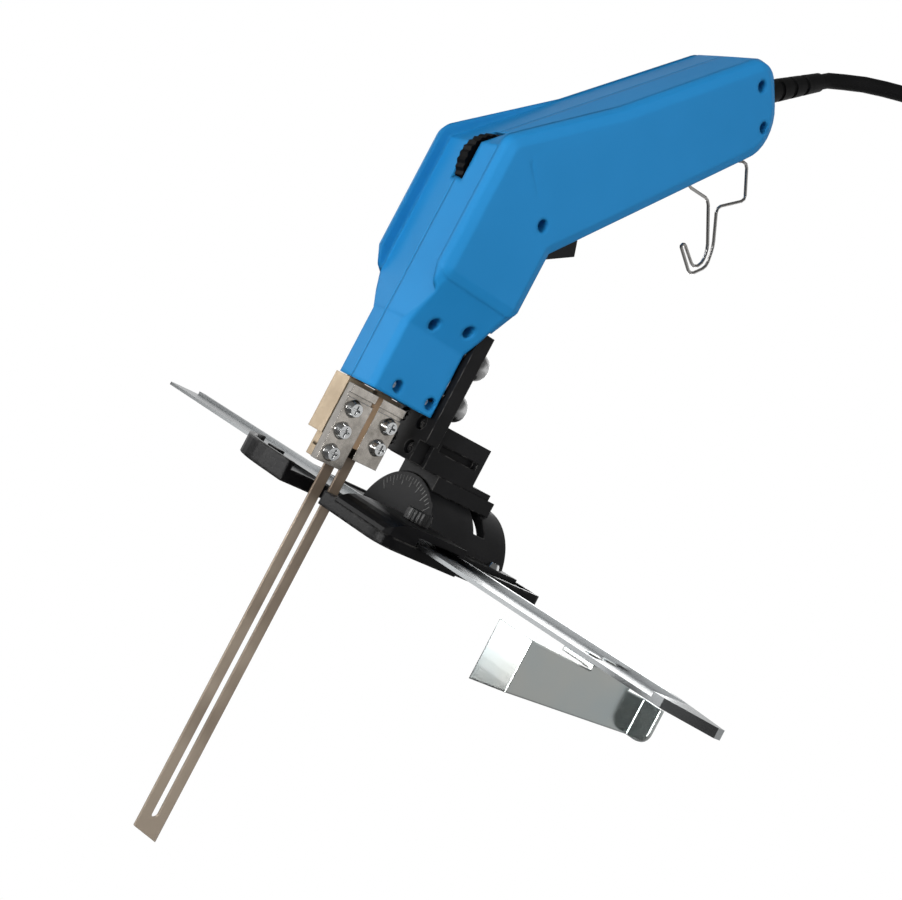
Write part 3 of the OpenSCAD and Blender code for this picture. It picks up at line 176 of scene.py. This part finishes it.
def noise(tree, scale, detail=4.0, rough=0.55, stretch=None):
    """Noise fixed to the piece, drawn out along its axes by a stretch if one is given."""
    place = tree.nodes.new("ShaderNodeTexCoord").outputs["Object"]
    if stretch:
        mapping = tree.nodes.new("ShaderNodeMapping")
        mapping.inputs["Scale"].default_value = stretch
        tree.links.new(place, mapping.inputs["Vector"])
        place = mapping.outputs["Vector"]
    texture = tree.nodes.new("ShaderNodeTexNoise")
    texture.inputs["Scale"].default_value = scale
    texture.inputs["Detail"].default_value = detail
    texture.inputs["Roughness"].default_value = rough
    tree.links.new(place, texture.inputs["Vector"])
    return texture.outputs["Fac"]


def ramp(tree, value, span, ends):
    """Colours or greys that run from one end to the other while a value crosses a span."""
    node = tree.nodes.new("ShaderNodeValToRGB")
    tree.links.new(value, node.inputs["Fac"])
    for element, position, end in zip(node.color_ramp.elements, span, ends):
        element.position = position
        element.color = (*end, 1) if isinstance(end, tuple) else (end, end, end, 1)
    return node.outputs["Color"]


def spread(tree, value, start, end, low, high, interpolation="SMOOTHSTEP"):
    """A number that runs from low to high while a value runs from start to end."""
    node = tree.nodes.new("ShaderNodeMapRange")
    node.interpolation_type = interpolation
    limits = {"From Min": start, "From Max": end, "To Min": low, "To Max": high}
    for name, limit in limits.items():
        node.inputs[name].default_value = limit
    tree.links.new(value, node.inputs["Value"])
    return node.outputs["Result"]


def combine(tree, kind, operation, first, second, output="Value"):
    """A Math or Vector Math node; its second input is a socket or a fixed vector."""
    node = tree.nodes.new(kind)
    node.operation = operation
    tree.links.new(first, node.inputs[0])
    if isinstance(second, tuple):
        node.inputs[1].default_value = second
    else:
        tree.links.new(second, node.inputs[1])
    return node.outputs[output]


def agreement(tree, direction, other):
    """1 where two directions agree, 0 where they are square to each other."""
    return combine(tree, "ShaderNodeVectorMath", "DOT_PRODUCT", direction, other)


def switched(tree, switch, off, on):
    """One shader where a switch is off and another where it is on."""
    node = tree.nodes.new("ShaderNodeMixShader")
    tree.links.new(switch, node.inputs["Fac"])
    tree.links.new(off, node.inputs[1])
    tree.links.new(on, node.inputs[2])
    return node.outputs["Shader"]


def true_normal(tree):
    return tree.nodes.new("ShaderNodeNewGeometry").outputs["True Normal"]


def rounded_normal(tree, radius):
    """The normal with edges rounded by a radius in metres."""
    node = tree.nodes.new("ShaderNodeBevel")
    node.samples = EDGE_SAMPLES
    node.inputs["Radius"].default_value = radius
    return node.outputs["Normal"]


def srgb(red, green, blue):
    """The linear colour of three 8-bit sRGB values."""
    return tuple(
        ((value / 255 + 0.055) / 1.055) ** 2.4 if value > 10 else value / 255 / 12.92
        for value in (red, green, blue))


# Surfaces: the spans of noise, or of the way a face looks, over which each change happens
DRIFT_SPAN = (0.3, 0.7)
DRIFT_DETAIL = 3
GRAIN_SPAN = (0.25, 0.75)
GRAIN_DETAIL = 5
GRAIN_ROUGH = 0.6
# Painted shade: the span of a face's turn towards the lit direction over which its colour darkens
PAINTED_SHADE_SPAN = (0.3, 0.7)
RUBBED_SPAN = (0.8, 0.96)
RUBBED_PATCHES = 260
RUBBED_PATCH_SPAN = (0.46, 0.6)
FADE_LOW = -0.2
FADE_HIGH = 0.3
looks = {}


def faded(tree, drift, top, bottom):
    """A drift that also rises from a top height to a bottom height, in metres."""
    axes = tree.nodes.new("ShaderNodeSeparateXYZ")
    place = tree.nodes.new("ShaderNodeTexCoord").outputs["Object"]
    tree.links.new(place, axes.inputs["Vector"])
    lift = spread(tree, axes.outputs["Z"], top, bottom, FADE_LOW, FADE_HIGH, "LINEAR")
    return combine(tree, "ShaderNodeMath", "ADD", drift, lift)


def painted_shade_away(tree, colour, shade_share, lit_facing):
    """Painted shade: a colour of which faces turned away from a lit direction keep only a share, which
    stands in for the shade and darker reflections on those faces."""
    shade_factor = ramp(tree, agreement(tree, true_normal(tree), lit_facing), PAINTED_SHADE_SPAN, (shade_share, 1.0))
    return combine(tree, "ShaderNodeVectorMath", "MULTIPLY", colour, shade_factor, "Vector")


def rubbed(tree, colour, edge, bare):
    """A colour with a bare one where edges are rubbed, broken up by a noise."""
    flatness = agreement(tree, rounded_normal(tree, edge), true_normal(tree))
    edges = ramp(tree, flatness, RUBBED_SPAN, (1.0, 0.0))
    patches = ramp(tree, noise(tree, RUBBED_PATCHES), RUBBED_PATCH_SPAN, (0.0, 1.0))
    mixed = tree.nodes.new("ShaderNodeMix")
    mixed.data_type = "RGBA"
    rub = combine(tree, "ShaderNodeMath", "MULTIPLY", edges, patches)
    tree.links.new(rub, mixed.inputs["Factor"])
    tree.links.new(colour, mixed.inputs[MIX_FIRST])
    mixed.inputs[MIX_SECOND].default_value = (*bare, 1)
    return mixed.outputs[MIX_RESULT]


def relief(tree, height, strength, distance, edge):
    """The normal of a fine relief over rounded edges."""
    node = tree.nodes.new("ShaderNodeBump")
    node.inputs["Strength"].default_value = strength
    node.inputs["Distance"].default_value = distance
    tree.links.new(height, node.inputs["Height"])
    tree.links.new(rounded_normal(tree, edge), node.inputs["Normal"])
    return node.outputs["Normal"]


def surface(
        name, dark, light, rough, metal=0.0, specular=0.3, tint=WHITE,
        cloud=30, grain=900, stretch=None, strength=0.15, distance=0.0002, edge=0.0003,
        shade_share=1.0, lit_facing=(0, 0, 1), fade=None, bare=None):
    """A material kept in looks by its name. The colour drifts from dark to light in clouds and the
    roughness runs between two values in a fine grain, which is also a relief of a strength and a
    distance. Edges are rounded by a radius. Three changes to the colour are optional: painted shade,
    which keeps a share of it on faces turned away from a lit direction, a fade between two heights,
    and bare, rubbed edges."""
    material, tree, bsdf = shader(name)
    drift = noise(tree, cloud, DRIFT_DETAIL)
    if fade:
        drift = faded(tree, drift, *fade)
    colour = ramp(tree, drift, DRIFT_SPAN, (dark, light))
    # Painted shade on faces turned away from the lit direction
    if shade_share < 1:
        colour = painted_shade_away(tree, colour, shade_share, lit_facing)
    if bare:
        colour = rubbed(tree, colour, edge, bare)
    fine = noise(tree, grain, GRAIN_DETAIL, GRAIN_ROUGH, stretch)
    tree.links.new(colour, bsdf.inputs["Base Color"])
    tree.links.new(ramp(tree, fine, GRAIN_SPAN, rough), bsdf.inputs["Roughness"])
    tree.links.new(relief(tree, fine, strength, distance, edge), bsdf.inputs["Normal"])
    bsdf.inputs["Metallic"].default_value = metal
    bsdf.inputs["Specular IOR Level"].default_value = specular
    bsdf.inputs["Specular Tint"].default_value = tint
    looks[name] = material


# Plastic and rubber
surface(
    "blue_shell", srgb(30, 122, 180), srgb(36, 128, 188), rough=(0.42, 0.54), specular=0.1,
    cloud=14, grain=2600, strength=0.1, distance=0.0001, edge=0.0022)
surface(
    "black_plastic", srgb(14, 14, 16), srgb(26, 26, 28), rough=(0.4, 0.55), specular=0.25,
    grain=2200, strength=0.2, distance=0.00015)
surface(
    "dial_black", srgb(5, 5, 6), srgb(11, 11, 12), rough=(0.5, 0.65), specular=0.08,
    grain=2200, strength=0.2, distance=0.00015)
surface(
    "rubber", srgb(10, 10, 11), srgb(18, 18, 19), rough=(0.5, 0.65), specular=0.2, grain=1500)

# Black enamel on castings and sheet
surface(
    "black_paint", srgb(16, 16, 17), srgb(28, 28, 29), rough=(0.38, 0.52), specular=0.12,
    cloud=40, grain=1600, strength=0.2, edge=0.0008, bare=srgb(82, 81, 79))
surface(
    "sled_gloss", srgb(6, 6, 7), srgb(16, 16, 17), rough=(0.24, 0.4), specular=0.1,
    cloud=60, grain=1400, strength=0.25, edge=0.0016, bare=srgb(74, 73, 71))
surface(
    "gloss_black", srgb(9, 9, 10), srgb(18, 18, 19), rough=(0.26, 0.36), specular=0.1,
    cloud=40, grain=1600, strength=0.08, distance=0.0001)

# Zinc-plated sheet and spring wire
surface(
    "zinc", (0.47, 0.55, 0.57), (0.60, 0.60, 0.56), rough=(0.14, 0.2), metal=1.0,
    cloud=24, grain=420, stretch=(1, 0.05, 1), strength=0.02, distance=0.0001, edge=0.0008)
# Ruler: painted shade, faces turned away from the top and the viewer keep 28 percent of the colour
surface(
    "ruler_sheet", (0.50, 0.52, 0.53), (0.58, 0.60, 0.61), rough=(0.2, 0.26), metal=1.0,
    tint=(0.6, 0.6, 0.6, 1), cloud=18, grain=40, stretch=(1, 0.2, 1), strength=0.0,
    distance=0.0001, edge=0.0, shade_share=0.28, lit_facing=(0, -0.6, 0.8))
surface(
    "wire", (0.44, 0.43, 0.42), (0.58, 0.57, 0.55), rough=(0.16, 0.26), metal=1.0,
    grain=800, strength=0.05)

# Screws
surface(
    "screws", (0.58, 0.59, 0.59), (0.70, 0.71, 0.71), rough=(0.14, 0.24), metal=1.0,
    cloud=120, strength=0.05, distance=0.00005, edge=0.0002)
surface(
    "dome_screws", (0.42, 0.42, 0.42), (0.54, 0.54, 0.54), rough=(0.2, 0.3), metal=1.0,
    cloud=90, strength=0.05, distance=0.00005, edge=0.0002)
surface(
    "shell_screws", (0.62, 0.63, 0.64), (0.74, 0.75, 0.76), rough=(0.3, 0.42), metal=0.25,
    specular=0.5, cloud=120, strength=0.05, distance=0.00005, edge=0.0002)
surface(
    "dull_screw", (0.03, 0.03, 0.03), (0.06, 0.06, 0.06), rough=(0.34, 0.48), metal=0.7,
    cloud=90, strength=0.1, distance=0.0001)

# Blade and terminals
surface(
    "blade_steel", srgb(116, 102, 88), srgb(172, 158, 142), rough=(0.34, 0.44), metal=0.4,
    cloud=26, grain=600, stretch=(6, 6, 0.3), strength=0.04, distance=0.0001, edge=0.0006,
    fade=(0.02, -0.14))
surface(
    "terminal", srgb(138, 122, 100), srgb(160, 143, 119), rough=(0.36, 0.5), metal=0.35,
    cloud=70, grain=700, strength=0.12, distance=0.0001)
# Clamp plates: painted shade, faces not turned towards the viewer keep 14 percent of the colour
surface(
    "clamp_plate", srgb(138, 133, 126), srgb(196, 190, 182), rough=(0.12, 0.26), metal=0.85,
    cloud=130, grain=700, strength=0.1, distance=0.0001, shade_share=0.14, lit_facing=(0, -1, 0))
surface("mica", srgb(128, 104, 80), srgb(160, 134, 106), rough=(0.45, 0.6))
surface("ceramic", srgb(214, 206, 186), srgb(236, 230, 214), rough=(0.25, 0.4))

# Inner electrical pieces and the plug's pins
surface("core", (0.10, 0.10, 0.11), (0.18, 0.18, 0.19), rough=(0.45, 0.6), metal=0.6)
surface("copper", (0.55, 0.26, 0.12), (0.72, 0.38, 0.20), rough=(0.25, 0.4), metal=0.9)
surface("board", srgb(14, 70, 36), srgb(24, 92, 48), rough=(0.35, 0.5))
surface("pins", (0.62, 0.52, 0.30), (0.76, 0.66, 0.42), rough=(0.18, 0.3), metal=1.0)

# Each node wears the look of its material slot, apart from those that have a look of their own
OWN_LOOKS = {
    "front_clamp_plate": "clamp_plate",
    "rear_clamp_plate": "clamp_plate",
    "guide_cover": "gloss_black",
    "sled_plate": "sled_gloss",
    "guide_ruler": "ruler_sheet",
    "ruler_lock_screw": "dull_screw",
    "bracket_screws": "dome_screws",
    "housing_screws": "shell_screws",
    "heat_dial": "dial_black"}
for part in frame["record"]["subparts"]:
    look = OWN_LOOKS.get(part["node"], part["material_slot"])
    for material_slot in nodes[part["node"]].material_slots:
        material_slot.material = looks[look]
lead_curve.materials.append(looks["rubber"])

# Bevel scale: painted strokes on the drum's front face, one every five degrees, longer every fifteen
SCALE_END = 45
SCALE_STEP = 5
SCALE_LONG_STEP = 15
STROKE_TOP = 0.0235
STROKE_SHORT = 0.0022
STROKE_LONG = 0.0042
STROKE_HALF = 0.00022
PAINT = 0.00004
DRUM_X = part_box("bevel_drum")[0].x
BOX_FACES = ((0, 1, 2, 3), (7, 6, 5, 4), (0, 4, 5, 1), (1, 5, 6, 2), (2, 6, 7, 3), (3, 7, 4, 0))


def stroke_corners(degrees):
    """The eight corners of a stroke, which points at the drum's axis and lies half sunk in its face."""
    turn = math.radians(degrees)
    reach = Vector((0, math.sin(turn), math.cos(turn)))
    across = Vector((0, math.cos(turn), -math.sin(turn))) * STROKE_HALF
    foot = STROKE_TOP - (STROKE_LONG if degrees % SCALE_LONG_STEP == 0 else STROKE_SHORT)
    outline = ((foot, -1), (foot, 1), (STROKE_TOP, 1), (STROKE_TOP, -1))
    return [
        Vector((x, 0, 0)) + radius * reach + side * across
        for x in (DRUM_X - PAINT, DRUM_X + PAINT)
        for radius, side in outline]


scale_points = []
scale_faces = []
for degrees in range(-SCALE_END, SCALE_END + SCALE_STEP, SCALE_STEP):
    first = len(scale_points)
    scale_points += stroke_corners(degrees)
    scale_faces += [[first + corner for corner in face] for face in BOX_FACES]
scale_mesh = bpy.data.meshes.new("bevel_scale")
scale_mesh.from_pydata(scale_points, [], scale_faces)
bevel_scale = bpy.data.objects.new("bevel_scale", scale_mesh)
scene.collection.objects.link(bevel_scale)
surface("scale_paint", srgb(84, 84, 83), srgb(108, 108, 106), rough=(0.5, 0.65), grain=1800)
scale_mesh.materials.append(looks["scale_paint"])
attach(bevel_scale, "sled")

# Floor: pale, plain white to the camera so that the tool stands clear as in the photograph, and
# brighter towards the grip's side in what metal mirrors
FLOOR_Z = -0.19
FLOOR_HALF = 6
FLOOR_GREY = 0.55
FLOOR_ROUGH = 0.9
CAMERA_WHITE = 1.0
floor_mesh = bpy.data.meshes.new("floor")
floor_corners = [
    (x * FLOOR_HALF, y * FLOOR_HALF, FLOOR_Z) for x, y in ((-1, -1), (1, -1), (1, 1), (-1, 1))]
floor_mesh.from_pydata(floor_corners, [], [(0, 1, 2, 3)])
floor = bpy.data.objects.new("floor", floor_mesh)
scene.collection.objects.link(floor)
floor_material, floor_tree, floor_bsdf = shader("floor")
floor_bsdf.inputs["Base Color"].default_value = (FLOOR_GREY, FLOOR_GREY, FLOOR_GREY, 1)
floor_bsdf.inputs["Roughness"].default_value = FLOOR_ROUGH
floor_rays = floor_tree.nodes.new("ShaderNodeLightPath")
floor_place = floor_tree.nodes.new("ShaderNodeNewGeometry")
floor_axes = floor_tree.nodes.new("ShaderNodeSeparateXYZ")
floor_tree.links.new(floor_place.outputs["Position"], floor_axes.inputs["Vector"])
brightness = spread(floor_tree, floor_axes.outputs["X"], start=-0.4, end=0.9, low=0.05, high=0.52)
sheen = floor_tree.nodes.new("ShaderNodeEmission")
floor_tree.links.new(brightness, sheen.inputs["Strength"])
glow = floor_tree.nodes.new("ShaderNodeEmission")
glow.inputs["Strength"].default_value = CAMERA_WHITE
floor_look = floor_bsdf.outputs["BSDF"]
for ray, other in (("Is Glossy Ray", sheen), ("Is Camera Ray", glow)):
    floor_look = switched(floor_tree, floor_rays.outputs[ray], floor_look, other.outputs["Emission"])
floor_tree.links.new(floor_look, floor_tree.nodes["Material Output"].inputs["Surface"])
floor_mesh.materials.append(floor_material)

# Room: pale below and behind the tool in what metal mirrors, soft light from the viewer's side and
# from below, and white to the camera
world = bpy.data.worlds.new("studio")
world.use_nodes = True
scene.world = world
room_tree = world.node_tree
room_aim = room_tree.nodes.new("ShaderNodeTexCoord")
room_rays = room_tree.nodes.new("ShaderNodeLightPath")


def room(towards, start, end, low, high):
    """A white background whose strength rises from low to high along a direction."""
    lean = agreement(room_tree, room_aim.outputs["Generated"], towards)
    background = room_tree.nodes.new("ShaderNodeBackground")
    background.inputs["Color"].default_value = WHITE
    strength = spread(room_tree, lean, start, end, low, high)
    room_tree.links.new(strength, background.inputs["Strength"])
    return background.outputs["Background"]


mirrored = room(towards=(0.62, 0.35, -0.7), start=-0.35, end=0.15, low=0.15, high=0.95)
diffused = room(towards=(-0.3, -0.87, -0.4), start=-0.3, end=0.75, low=0.07, high=1.75)
backdrop = room_tree.nodes["Background"]
backdrop.inputs["Color"].default_value = WHITE
backdrop.inputs["Strength"].default_value = CAMERA_WHITE
lighting = switched(room_tree, room_rays.outputs["Is Diffuse Ray"], mirrored, diffused)
seen = switched(
    room_tree, room_rays.outputs["Is Camera Ray"], lighting, backdrop.outputs["Background"])
room_tree.links.new(seen, room_tree.nodes["World Output"].inputs["Surface"])


# Lamps: a low key in front of the blade, a panel that the fence mirrors, a strip that the ruler's
# near half mirrors and a soft light on the tool's far side
def lamp(name, place, target, size, power, diffuse=True, glossy=True):
    """A rectangular lamp that looks at a target, in metres and watts."""
    data = bpy.data.lights.new(name, "AREA")
    data.shape = "RECTANGLE"
    data.size, data.size_y = size
    data.energy = power
    light = bpy.data.objects.new(name, data)
    scene.collection.objects.link(light)
    light.location = place
    light.rotation_euler = (Vector(target) - Vector(place)).to_track_quat("-Z", "Y").to_euler()
    light.visible_diffuse = diffuse
    light.visible_glossy = glossy


lamp("key", place=(-0.8, -0.22, -0.12), target=(0.03, 0.0, 0.14), size=(0.5, 0.26), power=7.4)
lamp(
    "panel", place=(-0.95, 0.85, 0.1), target=(0.0, -0.1, 0.05), size=(1.0, 0.55), power=8,
    diffuse=False)
lamp(
    "strip", place=(1.0, 0.78, 0.16), target=(0.02, -0.1, 0.0), size=(0.42, 0.36), power=1.6,
    diffuse=False)
lamp(
    "back", place=(0.5, 1.4, 0.35), target=(0.05, 0.0, 0.1), size=(1.0, 0.9), power=13,
    glossy=False)

scene.view_settings.view_transform = "Standard"
